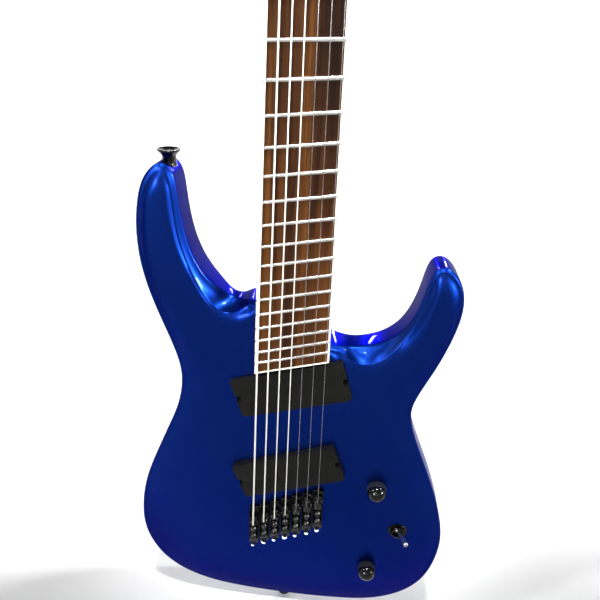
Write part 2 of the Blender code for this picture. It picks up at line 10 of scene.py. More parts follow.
import bmesh
import bpy
from mathutils import Euler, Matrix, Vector


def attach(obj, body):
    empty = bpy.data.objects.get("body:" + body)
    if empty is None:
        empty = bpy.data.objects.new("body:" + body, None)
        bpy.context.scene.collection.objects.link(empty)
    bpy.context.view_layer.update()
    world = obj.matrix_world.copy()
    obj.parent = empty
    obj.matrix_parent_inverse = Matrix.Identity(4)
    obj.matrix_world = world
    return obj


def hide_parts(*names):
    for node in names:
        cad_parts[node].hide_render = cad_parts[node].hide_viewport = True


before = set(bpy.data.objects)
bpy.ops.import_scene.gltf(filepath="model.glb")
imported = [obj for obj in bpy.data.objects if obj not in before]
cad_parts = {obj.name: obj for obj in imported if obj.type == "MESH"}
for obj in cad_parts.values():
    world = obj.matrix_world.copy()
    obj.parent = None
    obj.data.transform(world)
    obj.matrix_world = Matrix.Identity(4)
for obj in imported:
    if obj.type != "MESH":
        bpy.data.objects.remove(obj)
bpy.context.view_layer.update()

# ---- the design's driving sizes ----
DEPTH = 25.0
RISE = 155.0
BODY_TOP = 7.5
BODY_BACK = 43.0
RIDGE_Y = 12.0
SIDE_Y = 38.0
RIDGE_CARVED = 9.5
POCKET_HALF = 27.3
POCKET_FLOOR = 33.3
POCKET_END = 164.0
CAVITY_Y = 13.5
COVER_Y = 41.0
STRINGS = 7
FRETS = 24
SCALE_MID = 667.0
SCALE_FAN = 19.0
NEUTRAL = 7.34
SPREAD_BRIDGE = 60.1
SPREAD_NUT = 38.0
STRING_RADII = (0.80, 0.65, 0.52, 0.42, 0.26, 0.22, 0.19)
WOUND = 4
STRING_Y_SADDLE = -3.0
STRING_Y_NUT = -1.4
BOARD_TOP = 1.2
BOARD_BOTTOM = 7.2
BINDING = 1.7
NECK_TOP = 7.5
HEAD_TILT = radians(9.0)
HEAD_START = 680.0
POST_FIRST = 36.0
POST_STEP = 24.0
NECK_PICKUP = (-0.1, 131.6, 16.8, 97.0, 38.6, 4.0)
BRIDGE_PICKUP = (0.6, 40.6, 20.0, 97.0, 38.6, 2.0)
VOLUME = (82.3, 28.8)
TONE = (83.6, -79.9)
TOGGLE = (107.9, -24.2)
JACK = (151.5, -45.0)
BUTTON_HORN = (-97.3, 308.5)
END_SEAT_Z = -142.3

# The body's outline, anticlockwise seen from the front: the wall (x, z), the edge of the flat
# middle (x, z) that its arch runs to, and the carved edge between them: how far in from the wall
# its ridge is, and the depth at which it meets the wall.
OUTLINE = (
    (30, -143, 22, -98, 1.8, 14), (67, -141, 45, -96, 1.8, 14), (98, -135, 68, -90, 1.8, 14),
    (125, -119, 86, -78, 1.8, 14), (143, -95, 97, -60, 1.8, 14), (151, -62, 101, -36, 1.8, 14),
    (151, -30, 100, -10, 1.8, 14), (143, 3, 94, 14, 1.8, 14), (130, 39, 84, 40, 1.8, 14),
    (115, 74, 72, 66, 1.8, 14), (105, 103, 66, 92, 1.8, 14), (104.5, 121, 66, 112, 1.8, 14),
    (110, 139, 72, 128, 1.8, 14), (118.5, 162, 92, 150, 1.8, 14), (126, 188, 106, 176, 1.8, 14),
    (129.5, 211, 113, 196, 1.8, 14), (128, 227, 115, 207, 1.8, 14), (122.5, 240, 114, 214, 1.8, 14),
    (112.6, 248.3, 112, 217, 2, 15), (103.8, 245.5, 110, 214, 2, 15),
    (100.2, 235.3, 108, 208, 2, 15), (97.6, 221, 106, 200, 2.4, 15),
    (93.8, 206.4, 102, 188, 2.7, 16), (87.3, 191.8, 95, 170, 3.2, 18),
    (77.3, 181, 80, 147, 6.1, 18), (65.5, 174.2, 64, 141, 11, 19.4),
    (53.8, 171, 50, 141, 10.8, 19.5), (45, 170.5, 41, 148, 5.3, 20), (37, 172, 34, 160, 1.8, 18),
    (30, 174.5, 28, 167, 1.8, 14), (20, 181, 18, 174, 1.8, 14), (0, 194, 0, 186, 1.8, 14),
    (-24, 206, -22, 196, 1.8, 14), (-36.3, 208, -33, 194, 1.8, 18), (-45, 203.5, -41, 186, 4, 26),
    (-53.7, 205.6, -50, 180, 7.9, 27), (-60.4, 212.4, -60, 186, 9.2, 21.5),
    (-68.2, 222.3, -72, 200, 7.7, 15.5), (-76.5, 235, -83, 218, 5.6, 14),
    (-82.8, 250.5, -91, 236, 4.9, 14), (-86.7, 267.5, -97, 254, 4.3, 14),
    (-89, 285.5, -101, 270, 3.8, 14), (-90.6, 301, -103, 281, 3.8, 14),
    (-95, 310, -104.5, 286, 3, 14), (-103, 313, -106, 287, 2.2, 14),
    (-113.5, 303, -107.5, 284, 1.8, 14), (-120, 286, -109, 272, 1.8, 14),
    (-123.5, 260, -108, 250, 1.8, 14), (-122, 231, -102, 224, 1.8, 14),
    (-115, 201, -90, 194, 1.8, 14), (-105, 171, -76, 164, 1.8, 14), (-97.5, 145, -66, 138, 1.8, 14),
    (-96.5, 124, -62, 116, 1.8, 14), (-101, 100, -64, 92, 1.8, 14), (-112, 72, -72, 66, 1.8, 14),
    (-126, 38, -84, 38, 1.8, 14), (-138.5, 4, -93, 10, 1.8, 14), (-145, -32, -98, -18, 1.8, 14),
    (-145, -62, -98, -42, 1.8, 14), (-136, -91, -92, -64, 1.8, 14),
    (-114, -117.5, -78, -82, 1.8, 14), (-81, -133.5, -56, -94, 1.8, 14),
    (-45, -140, -32, -98, 1.8, 14), (-8, -142.5, -5, -99, 1.8, 14),
)
# The neck and headstock: (distance, left, right, depth, squareness), the distance along the neck
# or up the headstock's tilted face.
NECK_SECTIONS = (
    (164.4, -27.0, 27.0, 25.5, 9.0), (212.0, -27.0, 27.0, 25.5, 9.0),
    (218.0, -28.4, 28.4, 25.0, 6.0), (232.0, -28.4, 28.4, 20.5, 3.4),
    (250.0, -28.1, 28.1, 16.5, 2.5), (436.0, -24.9, 24.9, 15.0, 2.3),
    (640.0, -21.5, 21.5, 13.5, 2.3), (668.0, -21.3, 21.3, 14.5, 2.4),
)
HEAD_SECTIONS = (
    (0.0, -22.0, 21.8, 15.5, 3.0), (10.0, -24.5, 22.0, 14.6, 6.0), (24.0, -31.0, 22.5, 14.0, 14.0),
    (34.0, -33.5, 22.8, 14.0, 14.0), (70.0, -27.0, 24.5, 14.0, 14.0),
    (110.0, -18.5, 28.0, 14.0, 14.0), (150.0, -9.5, 32.0, 14.0, 14.0),
    (180.0, -1.5, 34.5, 14.0, 14.0), (194.0, 3.5, 34.0, 14.0, 14.0),
    (204.0, 10.0, 30.0, 14.0, 14.0), (208.0, 16.0, 25.0, 13.6, 12.0),
)
BACK_SCREWS = ((62.0, 38.0), (114.0, 38.0), (62.0, -110.0), (114.0, -110.0))


def spot(x, y, z):
    return Vector((x, y - DEPTH, z + RISE)) / 1000


def head_spot(u, w, v):
    """A point on the headstock: u across, w behind its face, v up it from the nut."""
    y = NECK_TOP + v * sin(HEAD_TILT) + w * cos(HEAD_TILT)
    return spot(u, y, HEAD_START + v * cos(HEAD_TILT) - w * sin(HEAD_TILT))


def head_axis(u, w, v):
    return (head_spot(u, w, v) - head_spot(0, 0, 0)).normalized()


def ease(t):
    t = min(1.0, max(0.0, t))
    return t * t * (3 - 2 * t)


# ---- materials ----
def link(tree, out, into):
    tree.links.new(out, into)


def new_material(name, colour, metallic, roughness, **sockets):
    """A Principled material; the underscores in extra socket names stand for spaces."""
    made = bpy.data.materials.new(name)
    made.use_nodes = True
    shader = made.node_tree.nodes["Principled BSDF"]
    shader.inputs["Base Color"].default_value = (*colour, 1.0)
    shader.inputs["Metallic"].default_value = metallic
    shader.inputs["Roughness"].default_value = roughness
    for socket, value in sockets.items():
        shader.inputs[socket.replace("_", " ")].default_value = value
    return made, made.node_tree, shader


def noise(tree, scale, stretch=(1, 1, 1), detail=3.0, roughness=0.5, distortion=0.0):
    """Noise over the object's own coordinates, in metres."""
    place = tree.nodes.new("ShaderNodeTexCoord")
    mapping = tree.nodes.new("ShaderNodeMapping")
    mapping.inputs["Scale"].default_value = stretch
    link(tree, place.outputs["Object"], mapping.inputs["Vector"])
    texture = tree.nodes.new("ShaderNodeTexNoise")
    texture.inputs["Scale"].default_value = scale
    texture.inputs["Detail"].default_value = detail
    texture.inputs["Roughness"].default_value = roughness
    texture.inputs["Distortion"].default_value = distortion
    link(tree, mapping.outputs["Vector"], texture.inputs["Vector"])
    return texture.outputs["Fac"]


def ramp(tree, factor, *stops):
    """A colour for each (place, colour) stop of the factor."""
    made = tree.nodes.new("ShaderNodeValToRGB")
    stripes = made.color_ramp.elements
    while len(stripes) < len(stops):
        stripes.new(0.5)
    for stripe, (place, colour) in zip(stripes, stops):
        stripe.position = place
        stripe.color = (*colour, 1.0)
    link(tree, factor, made.inputs["Fac"])
    return made.outputs["Color"]


def scaled(tree, factor, low, high):
    """The factor's 0 to 1 as low to high."""
    made = tree.nodes.new("ShaderNodeMapRange")
    made.inputs["To Min"].default_value = low
    made.inputs["To Max"].default_value = high
    link(tree, factor, made.inputs["Value"])
    return made.outputs["Result"]


def bump(tree, shader, height, strength, distance, socket="Normal"):
    made = tree.nodes.new("ShaderNodeBump")
    made.inputs["Strength"].default_value = strength
    made.inputs["Distance"].default_value = distance
    link(tree, height, made.inputs["Height"])
    link(tree, made.outputs["Normal"], shader.inputs[socket])


def blue_lacquer():
    """Candy blue: dark tinted flake under a glossy coat."""
    made, tree, shader = new_material(
        "blue_lacquer", (0.003, 0.022, 0.21), 1.0, 0.34, Coat_Weight=0.1, Coat_Roughness=0.02,
        Coat_IOR=1.45, Specular_Tint=(0.04, 0.08, 0.25, 1.0),
    )
    cloud = noise(tree, 5.0, (1, 1, 0.6), 2.0, 0.5, 0.6)
    colour = ramp(tree, cloud, (0.3, (0.0025, 0.02, 0.195)), (0.7, (0.0035, 0.026, 0.225)))
    link(tree, colour, shader.inputs["Base Color"])
    bump(tree, shader, noise(tree, 2200.0, detail=1.0), 0.04, 0.0002)
    bump(tree, shader, noise(tree, 28.0, (1, 1, 0.35), 2.0), 0.05, 0.004, "Coat Normal")
    return made


def rosewood():
    made, tree, shader = new_material("rosewood", (0.12, 0.05, 0.02), 0.0, 0.45, Specular_IOR_Level=0.1)
    broad = noise(tree, 60.0, (1, 1, 0.05), 3.0, 0.6)
    fine = noise(tree, 500.0, (1, 1, 0.02), 4.0, 0.7)
    colour = ramp(
        tree, broad,
        (0.36, (0.014, 0.0048, 0.0015)), (0.5, (0.046, 0.015, 0.0036)), (0.66, (0.105, 0.037, 0.007)),
    )
    dark = ramp(tree, fine, (0.35, (0.25, 0.22, 0.2)), (0.6, (1.0, 1.0, 1.0)))
    streak = tree.nodes.new("ShaderNodeMix")
    streak.data_type = "RGBA"
    streak.blend_type = "MULTIPLY"
    streak.inputs["Factor"].default_value = 0.75
    link(tree, colour, streak.inputs["A"])
    link(tree, dark, streak.inputs["B"])
    link(tree, streak.outputs["Result"], shader.inputs["Base Color"])
    link(tree, scaled(tree, fine, 0.38, 0.6), shader.inputs["Roughness"])
    bump(tree, shader, fine, 0.25, 0.0002)
    return made


def maple():
    made, tree, shader = new_material("maple", (0.56, 0.36, 0.17), 0.0, 0.38, Coat_Weight=0.25)
    figure = noise(tree, 26.0, (1, 1, 0.08), 3.0, 0.55, 0.3)
    grain = noise(tree, 700.0, (1, 1, 0.015), 3.0, 0.6)
    colour = ramp(tree, figure, (0.3, (0.42, 0.25, 0.11)), (0.7, (0.62, 0.41, 0.21)))
    line = ramp(tree, grain, (0.35, (0.72, 0.66, 0.6)), (0.6, (1.0, 1.0, 1.0)))
    blend = tree.nodes.new("ShaderNodeMix")
    blend.data_type = "RGBA"
    blend.blend_type = "MULTIPLY"
    blend.inputs["Factor"].default_value = 0.6
    link(tree, colour, blend.inputs["A"])
    link(tree, line, blend.inputs["B"])
    link(tree, blend.outputs["Result"], shader.inputs["Base Color"])
    bump(tree, shader, grain, 0.1, 0.0002)
    return made


def moulded(name, dark, light, roughness, scale, strength, coat=0.0, shine=0.5):
    """Moulded plastic: two close colours, a fine grain and uneven gloss."""
    made, tree, shader = new_material(name, dark, 0.0, roughness, Coat_Weight=coat, Specular_IOR_Level=shine)
    grain = noise(tree, scale, detail=2.0)
    link(tree, ramp(tree, grain, (0.35, dark), (0.65, light)), shader.inputs["Base Color"])
    wear = noise(tree, 90.0, detail=4.0)
    link(tree, scaled(tree, wear, roughness * 0.8, roughness * 1.2), shader.inputs["Roughness"])
    bump(tree, shader, grain, strength, 0.0002)
    return made


def metal(name, dark, light, roughness, scale=160.0, stretch=(1, 1, 1), strength=0.06):
    """Plated or bare metal with faint marks in its gloss."""
    made, tree, shader = new_material(name, light, 1.0, roughness)
    marks = noise(tree, scale, stretch, 4.0, 0.6)
    link(tree, ramp(tree, marks, (0.3, dark), (0.7, light)), shader.inputs["Base Color"])
    link(tree, scaled(tree, marks, roughness * 0.7, roughness * 1.35), shader.inputs["Roughness"])
    bump(tree, shader, marks, strength, 0.0002)
    return made


def wound_wire():
    """Nickel wrap wire, whose turns show as fine ridges across the string."""
    made, tree, shader = new_material("wound_wire", (1.0, 0.97, 0.9), 0.55, 0.45)
    place = tree.nodes.new("ShaderNodeTexCoord")
    wave = tree.nodes.new("ShaderNodeTexWave")
    wave.bands_direction = "Z"
    wave.inputs["Scale"].default_value = 1100.0
    link(tree, place.outputs["Object"], wave.inputs["Vector"])
    # Painted shade: the wire is coloured darker in the grooves between its turns, where the wave is low.
    colour = ramp(tree, wave.outputs["Fac"], (0.1, (0.85, 0.8, 0.7)), (0.5, (1.0, 0.98, 0.92)))
    link(tree, colour, shader.inputs["Base Color"])
    bump(tree, shader, wave.outputs["Fac"], 0.3, 0.0001)
    return made


def cream_plastic():
    made, tree, shader = new_material("binding_cream", (0.78, 0.74, 0.62), 0.0, 0.35, Coat_Weight=0.4)
    shade = noise(tree, 40.0, (1, 1, 0.3), 3.0)
    colour = ramp(tree, shade, (0.3, (0.70, 0.65, 0.51)), (0.7, (0.84, 0.80, 0.69)))
    link(tree, colour, shader.inputs["Base Color"])
    link(tree, scaled(tree, shade, 0.3, 0.45), shader.inputs["Roughness"])
    return made


def floor_paint():
    made, tree, shader = new_material("pale_floor", (0.85, 0.85, 0.85), 0.0, 0.9)
    shade = noise(tree, 2.0, detail=2.0)
    colour = ramp(tree, shade, (0.3, (0.83, 0.83, 0.83)), (0.7, (0.86, 0.86, 0.86)))
    link(tree, colour, shader.inputs["Base Color"])
    return made


BLUE = blue_lacquer()
ROSEWOOD = rosewood()
MAPLE = maple()
CREAM = cream_plastic()
WOUND_WIRE = wound_wire()
PLAIN_WIRE = metal("plain_wire", (0.4, 0.4, 0.41), (0.6, 0.6, 0.6), 0.25, 400.0)
FRET_METAL = metal("fret_nickel", (0.72, 0.71, 0.68), (0.92, 0.91, 0.88), 0.22, 300.0)
PICKUP_PLASTIC = moulded(
    "pickup_cover", (0.003, 0.003, 0.0026), (0.006, 0.0059, 0.0051), 0.4, 1500.0, 0.25, 0.0, 0.14
)
BLACK_PLASTIC = moulded("black_moulding", (0.01, 0.01, 0.011), (0.02, 0.02, 0.021), 0.42, 900.0, 0.3)
GRAPHITE = moulded("nut_graphite", (0.012, 0.012, 0.012), (0.03, 0.03, 0.03), 0.45, 700.0, 0.2)
BLACK_NICKEL = metal("black_nickel", (0.02, 0.019, 0.019), (0.05, 0.047, 0.045), 0.13, strength=0.02)
BRIDGE_BLACK = metal(
    "bridge_black", (0.006, 0.006, 0.0055), (0.014, 0.0135, 0.0125), 0.24, 400.0, strength=0.01
)
BLACK_CHROME = metal("black_chrome", (0.03, 0.03, 0.028), (0.055, 0.055, 0.05), 0.2, 60.0, strength=0.005)
SCREW_METAL = metal("screw_nickel", (0.7, 0.7, 0.7), (0.95, 0.94, 0.92), 0.3)
KNOB_SIDE = moulded("knob_side", (0.006, 0.0066, 0.008), (0.018, 0.019, 0.022), 0.4, 800.0, 0.1, 0.08, 0.3)
KNOB_TOP = moulded("knob_top", (0.002, 0.002, 0.002), (0.003, 0.003, 0.003), 0.14, 60.0, 0.02, 0.3, 0.2)
STEEL = metal("steel", (0.4, 0.4, 0.41), (0.62, 0.62, 0.63), 0.3)
BATTERY = moulded("battery_wrap", (0.03, 0.03, 0.032), (0.06, 0.06, 0.062), 0.35, 300.0, 0.1)


# ---- mesh helpers ----
def skin(work, rings, caps=True):
    """Joins rings of points, all the same length, and caps the ends."""
    rows = [[work.verts.new(point) for point in ring] for ring in rings]
    for low, high in zip(rows, rows[1:]):
        for i in range(len(low)):
            j = (i + 1) % len(low)
            work.faces.new((low[i], low[j], high[j], high[i]))
    if caps:
        work.faces.new(rows[0][::-1])
        work.faces.new(rows[-1])


def to_object(work, name):
    bmesh.ops.remove_doubles(work, verts=work.verts, dist=1e-6)
    bmesh.ops.recalc_face_normals(work, faces=work.faces)
    mesh = bpy.data.meshes.new(name)
    work.to_mesh(mesh)
    work.free()
    obj = bpy.data.objects.new(name, mesh)
    bpy.context.scene.collection.objects.link(obj)
    return obj


def lofted(name, rings, caps=True):
    work = bmesh.new()
    skin(work, rings, caps)
    return to_object(work, name)


def plate(name, outline, low, high, place=None):
    """A flat shape with corners (a, b), from depth low to depth high."""
    place = place or (lambda a, b, depth: spot(a, depth, b))
    return lofted(name, [[place(a, b, depth) for a, b in outline] for depth in (low, high)])


def turned(name, profile, base, axis, sides=48, ribs=0, rib_depth=0.0, ribbed=(), hollow=False):
    """A lathe shape: (radius, height) in mm along an axis. Rings listed in ribbed are knurled.

    A hollow one is open through its middle: its profile runs back to its start.
    """
    turn = Vector((0, 0, 1)).rotation_difference(Vector(axis).normalized())
    rings = []
    for index, (radius, height) in enumerate(profile):
        ring = []
        for i in range(sides):
            angle = 2 * pi * i / sides
            groove = rib_depth * max(0.0, cos(angle * ribs)) if index in ribbed else 0.0
            point = Vector(((radius - groove) * cos(angle), (radius - groove) * sin(angle), height))
            ring.append(base + turn @ (point / 1000))
        rings.append(ring)
    if hollow:
        rings.append(rings[0])
    return lofted(name, rings, caps=not hollow)


def change(obj, tool, operation):
    """Cuts the tool away, or joins it on, and removes it."""
    modifier = obj.modifiers.new("tool", "BOOLEAN")
    modifier.operation = operation
    modifier.solver = "EXACT"
    modifier.object = tool
    settle(obj)
    bpy.data.objects.remove(tool)


def cut(obj, tool):
    change(obj, tool, "DIFFERENCE")


def settle(obj):
    """Applies the modifiers."""
    bpy.context.view_layer.update()
    graph = bpy.context.evaluated_depsgraph_get()
    mesh = bpy.data.meshes.new_from_object(obj.evaluated_get(graph))
    obj.modifiers.clear()
    obj.data = mesh


def soften(obj, width, segments=2, angle=40.0):
    """Rounds the edges sharper than an angle."""
    modifier = obj.modifiers.new("soften", "BEVEL")
    modifier.width = width / 1000
    modifier.segments = segments
    modifier.limit_method = "ANGLE"
    modifier.angle_limit = radians(angle)
    settle(obj)
    return obj


def smooth(obj, angle=35.0):
    for polygon in obj.data.polygons:
        polygon.use_smooth = True
    obj.data.set_sharp_from_angle(angle=radians(angle))


def joined(name, objects):
    """One object of several, keeping each one's materials."""
    work = bmesh.new()
    materials = []
    for obj in objects:
        offset = len(work.faces)
        work.from_mesh(obj.data)
        work.faces.ensure_lookup_table()
        places = []
        for material in obj.data.materials:
            if material not in materials:
                materials.append(material)
            places.append(materials.index(material))
        for face in work.faces[offset:]:
            face.material_index = places[face.material_index] if places else 0
    for obj in objects:
        bpy.data.objects.remove(obj)
    mesh = bpy.data.meshes.new(name)
    work.to_mesh(mesh)
    work.free()
    for material in materials:
        mesh.materials.append(material)
    made = bpy.data.objects.new(name, mesh)
    bpy.context.scene.collection.objects.link(made)
    return made


def coat(obj, material):
    obj.data.materials.clear()
    obj.data.materials.append(material)
    return obj


def place_piece(obj, body, slot, *nodes, angle=35.0):
    """Finishes a piece: smooth shading, its CAD body and the nodes it stands for. The slot is not used."""
    smooth(obj, angle)
    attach(obj, body)
    if nodes:
        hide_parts(*nodes)
    return obj


def rounded(length, width, radius, steps=8):
    """A rectangle with rounded corners, centred, long way along the first axis."""
    points = []
    for quarter, (sx, sy) in enumerate(((1, 1), (-1, 1), (-1, -1), (1, -1))):
        cx = sx * (length / 2 - radius)
        cy = sy * (width / 2 - radius)
        for step in range(steps + 1):
            angle = (quarter + step / steps) * pi / 2
            points.append((cx + radius * cos(angle), cy + radius * sin(angle)))
    return points


def turn_points(points, x, z, degrees):
    c = cos(radians(degrees))
    s = sin(radians(degrees))
    return [(x + a * c - b * s, z + a * s + b * c) for a, b in points]


def rod(name, start, end, radius, sides=24):
    length = (end - start).length * 1000
    return turned(name, ((radius, 0.0), (radius, length)), start, end - start, sides)


def screw_head(name, base, axis, radius, material=None, hex_socket=False):
    """A domed screw head with a cross or a hexagon in it, its underside at base."""
    dome = [(radius, -0.4)]
    for step in range(5):
        angle = step / 4 * pi / 2
        dome.append((radius * (0.35 + 0.65 * cos(angle)), 0.3 + radius * 0.32 * sin(angle)))
    head = turned(name, dome, base, axis, 28)
    way = Vector(axis).normalized()
    top = base + way * (0.3 + radius * 0.32) / 1000
    if hex_socket:
        cut(head, turned("socket", ((radius * 0.5, -radius * 0.5), (radius * 0.5, 1.0)), top, axis, 6))
    else:
        side = way.orthogonal().normalized()
        for arm in (side, way.cross(side)):
            other = way.cross(arm)
            corners = ((-0.62, -0.13), (0.62, -0.13), (0.62, 0.13), (-0.62, 0.13))
            ring = [(arm * a + other * b) * radius / 1000 for a, b in corners]
            depths = (way * -radius * 0.35 / 1000, way * 0.001)
            cut(head, lofted("slot", [[top + drop + corner for corner in ring] for drop in depths]))
    return coat(head, material or SCREW_METAL)


# ---- body ----
def spline(rows, per_row):
    """Points on a closed smooth curve past the rows."""
    count = len(rows)

    def average(i):
        before, here, after = rows[i - 1], rows[i], rows[(i + 1) % count]
        return [(a + 4 * b + c) / 6 for a, b, c in zip(before, here, after)]

    handles = [[2 * p - q for p, q in zip(rows[i], average(i))] for i in range(count)]
    points = []
    for i in range(count):
        four = [handles[(i + k) % count] for k in (-1, 0, 1, 2)]
        for step in range(per_row):
            t = step / per_row
            weights = (
                (1 - t) ** 3 / 6,
                (3 * t**3 - 6 * t**2 + 4) / 6,
                (-3 * t**3 + 3 * t**2 + 3 * t + 1) / 6,
                t**3 / 6,
            )
            points.append([sum(w * h[k] for w, h in zip(weights, four)) for k in range(len(rows[0]))])
    return points


def fillet(before, corner, after, radius, steps=4):
    """Points that round a corner of a side view (inset, depth)."""
    start = corner + (before - corner).normalized() * min(radius, 0.45 * (before - corner).length)
    end = corner + (after - corner).normalized() * min(radius, 0.45 * (after - corner).length)
    return [start.lerp(corner, t).lerp(corner.lerp(end, t), t) for t in (s / steps for s in range(steps + 1))]


def edge_profile(bevel, lip, ridge):
    """The body's edge in side view, from the back's flat round to the ridge on the front."""
    points = []
    for step in range(7):
        angle = step / 6 * pi / 2
        points.append(Vector((6.0 * (1 - sin(angle)), SIDE_Y + (BODY_BACK - SIDE_Y) * cos(angle))))
    low = Vector((0.0, lip))
    high = Vector((bevel, ridge))
    slope = high - low
    wide = ease((bevel - 3.0) / 4.0)
    crisp = 2.4 - 1.6 * ease((bevel - 1.9) / 1.2)
    hollow = Vector((lip - ridge, bevel)).normalized() * slope.length * 0.06 * wide
    carved = [low.lerp(high, t) + hollow * 4 * t * (1 - t) for t in (0.12, 0.25, 0.38, 0.5, 0.62, 0.75, 0.88)]
    points += fillet(Vector((0.0, SIDE_Y)), low, carved[1], 2.2)
    points += carved[1:-1]
    points += fillet(carved[-2], high, high + Vector((6.0, -0.8)), crisp)
    return points


def body_rings(per_row):
    """Closed rings from the back's flat, over the edge and the carved front, to the flat middle."""
    rows = spline(OUTLINE, per_row)
    count = len(rows)
    columns = []
    for i, (x, z, inner_x, inner_z, bevel, lip) in enumerate(rows):
        after, before = rows[(i + 1) % count], rows[i - 1]
        inward = Vector((before[1] - after[1], after[0] - before[0])).normalized()
        wall = Vector((x, z))
        near_neck = ease((abs(x) - 25.0) / 15.0) if z > 150 else 1.0
        full = RIDGE_Y + (RIDGE_CARVED - RIDGE_Y) * ease((bevel - 2.0) / 5.0)
        ridge = BODY_TOP + (full - BODY_TOP) * near_neck
        column = [(wall + inward * inset, depth) for inset, depth in edge_profile(bevel, lip, ridge)]
        start, start_y = column[-1]
        flat = Vector((inner_x, inner_z))
        for t in (0.1, 0.2, 0.32, 0.45, 0.58, 0.7, 0.82, 0.92, 1.0, 1.05):
            drop = (start_y - BODY_TOP) * max(0.0, 1 - t) ** 3
            column.append((start.lerp(flat, t), BODY_TOP + drop))
        columns.append(column)
    return [[spot(place.x, depth, place.y) for place, depth in ring] for ring in zip(*columns)]


def control_outline(margin):
    corners = rounded(56.0 + 2 * margin, 152.0 + 2 * margin, 14.0 + margin, 8)
    return turn_points(corners, 88.0, -36.0, 0.0)


def pickup_outline(pickup, grow, radius):
    x, z, degrees, length, width, _ = pickup
    return turn_points(rounded(length + 2 * grow, width + 2 * grow, radius), x, z, degrees)


def make_body():
    body = lofted("body_shell", body_rings(6))
    far = 230.0
    pocket = ((-POCKET_HALF, POCKET_END), (POCKET_HALF, POCKET_END), (POCKET_HALF, far), (-POCKET_HALF, far))
    cut(body, plate("pocket_cut", pocket, -5.0, POCKET_FLOOR))
    for pickup in (NECK_PICKUP, BRIDGE_PICKUP):
        cut(body, plate("route_cut", pickup_outline(pickup, 0.5, 3.5), -5.0, 27.0))
    cut(body, plate("cavity_cut", control_outline(0.0), CAVITY_Y, 50.0))
    cut(body, plate("cover_cut", control_outline(6.0), COVER_Y - 0.3, 50.0))
    for (x, z), radius in ((VOLUME, 5.0), (TONE, 5.0), (TOGGLE, 6.2)):
        cut(body, turned("hole_cut", ((radius, 0.0), (radius, 30.0)), spot(x, 0.0, z), (0, 1, 0), 32))
    socket = ((11.0, -10.0), (11.0, 3.6), (6.3, 3.6), (6.3, 38.0))
    cut(body, turned("jack_cut", socket, spot(JACK[0], DEPTH, JACK[1]), (-1, 0, 0), 40))
    seat = ((6.6, -8.0), (6.6, 0.0), (2.4, 0.0), (2.4, 24.0))
    cut(body, turned("end_screw_cut", seat, spot(0.0, DEPTH, END_SEAT_Z), (0, 0, 1), 40))
    top = spot(BUTTON_HORN[0], DEPTH, BUTTON_HORN[1])
    cut(body, turned("horn_screw_cut", seat, top, (0, 0, -1), 40))
    coat(body, BLUE)
    place_piece(body, "guitar", "blue_lacquered_wood", "body", angle=32.0)


# ---- the scale ----
def string_side(number):
    return -1 + 2 * number / (STRINGS - 1)


def fret_z(fret, side):
    neutral = SCALE_MID * 2 ** (-NEUTRAL / 12)
    length = SCALE_MID - SCALE_FAN * side
    return neutral + length * (2 ** (-fret / 12) - 2 ** (-NEUTRAL / 12))


def string_x(side, z):
    return side * (SPREAD_BRIDGE + (SPREAD_NUT - SPREAD_BRIDGE) * z / SCALE_MID) / 2


def board_half(z):
    return 30.1 - (z - 160.0) * 0.01716


def across_board(fret, hand, shift=0.0, inset=0.0):
    """Where the line of a fret, moved along the neck by shift, meets the board's inset edge."""
    z_low = fret_z(fret, -1) + shift
    z_high = fret_z(fret, 1) + shift
    x_low = string_x(-1, z_low)
    x_high = string_x(1, z_high)
    slope = (z_high - z_low) / (x_high - x_low)
    z = z_low if hand < 0 else z_high
    for _ in range(4):
        z = z_low + (hand * (board_half(z) - inset) - x_low) * slope
    return hand * (board_half(z) - inset), z


# ---- neck ----
def section(left, right, depth, squareness, place, steps=36):
    """A D-shaped section with a flat top, as a ring of points."""
    ring = []
    middle = (left + right) / 2
    half = (right - left) / 2
    for i in range(steps + 1):
        angle = pi * i / steps
        c = cos(angle)
        across = (1 if c > 0 else -1) * abs(c) ** (2 / squareness)
        ring.append(place(middle + half * across, depth * sin(angle) ** (2 / squareness)))
    return ring


def between(rows, per_gap):
    """The rows with smooth steps between them: a cubic through neighbouring rows."""
    made = []
    for i in range(len(rows) - 1):
        first, last = rows[max(i - 1, 0)], rows[min(i + 2, len(rows) - 1)]
        for step in range(per_gap):
            t = step / per_gap
            row = []
            for a, b, c, d in zip(first, rows[i], rows[i + 1], last):
                rise_b, rise_c = (c - a) / 2, (d - b) / 2
                if (c - b) * rise_b <= 0:
                    rise_b = 0.0
                if (c - b) * rise_c <= 0:
                    rise_c = 0.0
                rise_b = max(-3 * abs(c - b), min(3 * abs(c - b), rise_b))
                rise_c = max(-3 * abs(c - b), min(3 * abs(c - b), rise_c))
                row.append(
                    (2 * t**3 - 3 * t**2 + 1) * b + (t**3 - 2 * t**2 + t) * rise_b
                    + (3 * t**2 - 2 * t**3) * c + (t**3 - t**2) * rise_c
                )
            made.append(row)
    made.append(list(rows[-1]))
    return made


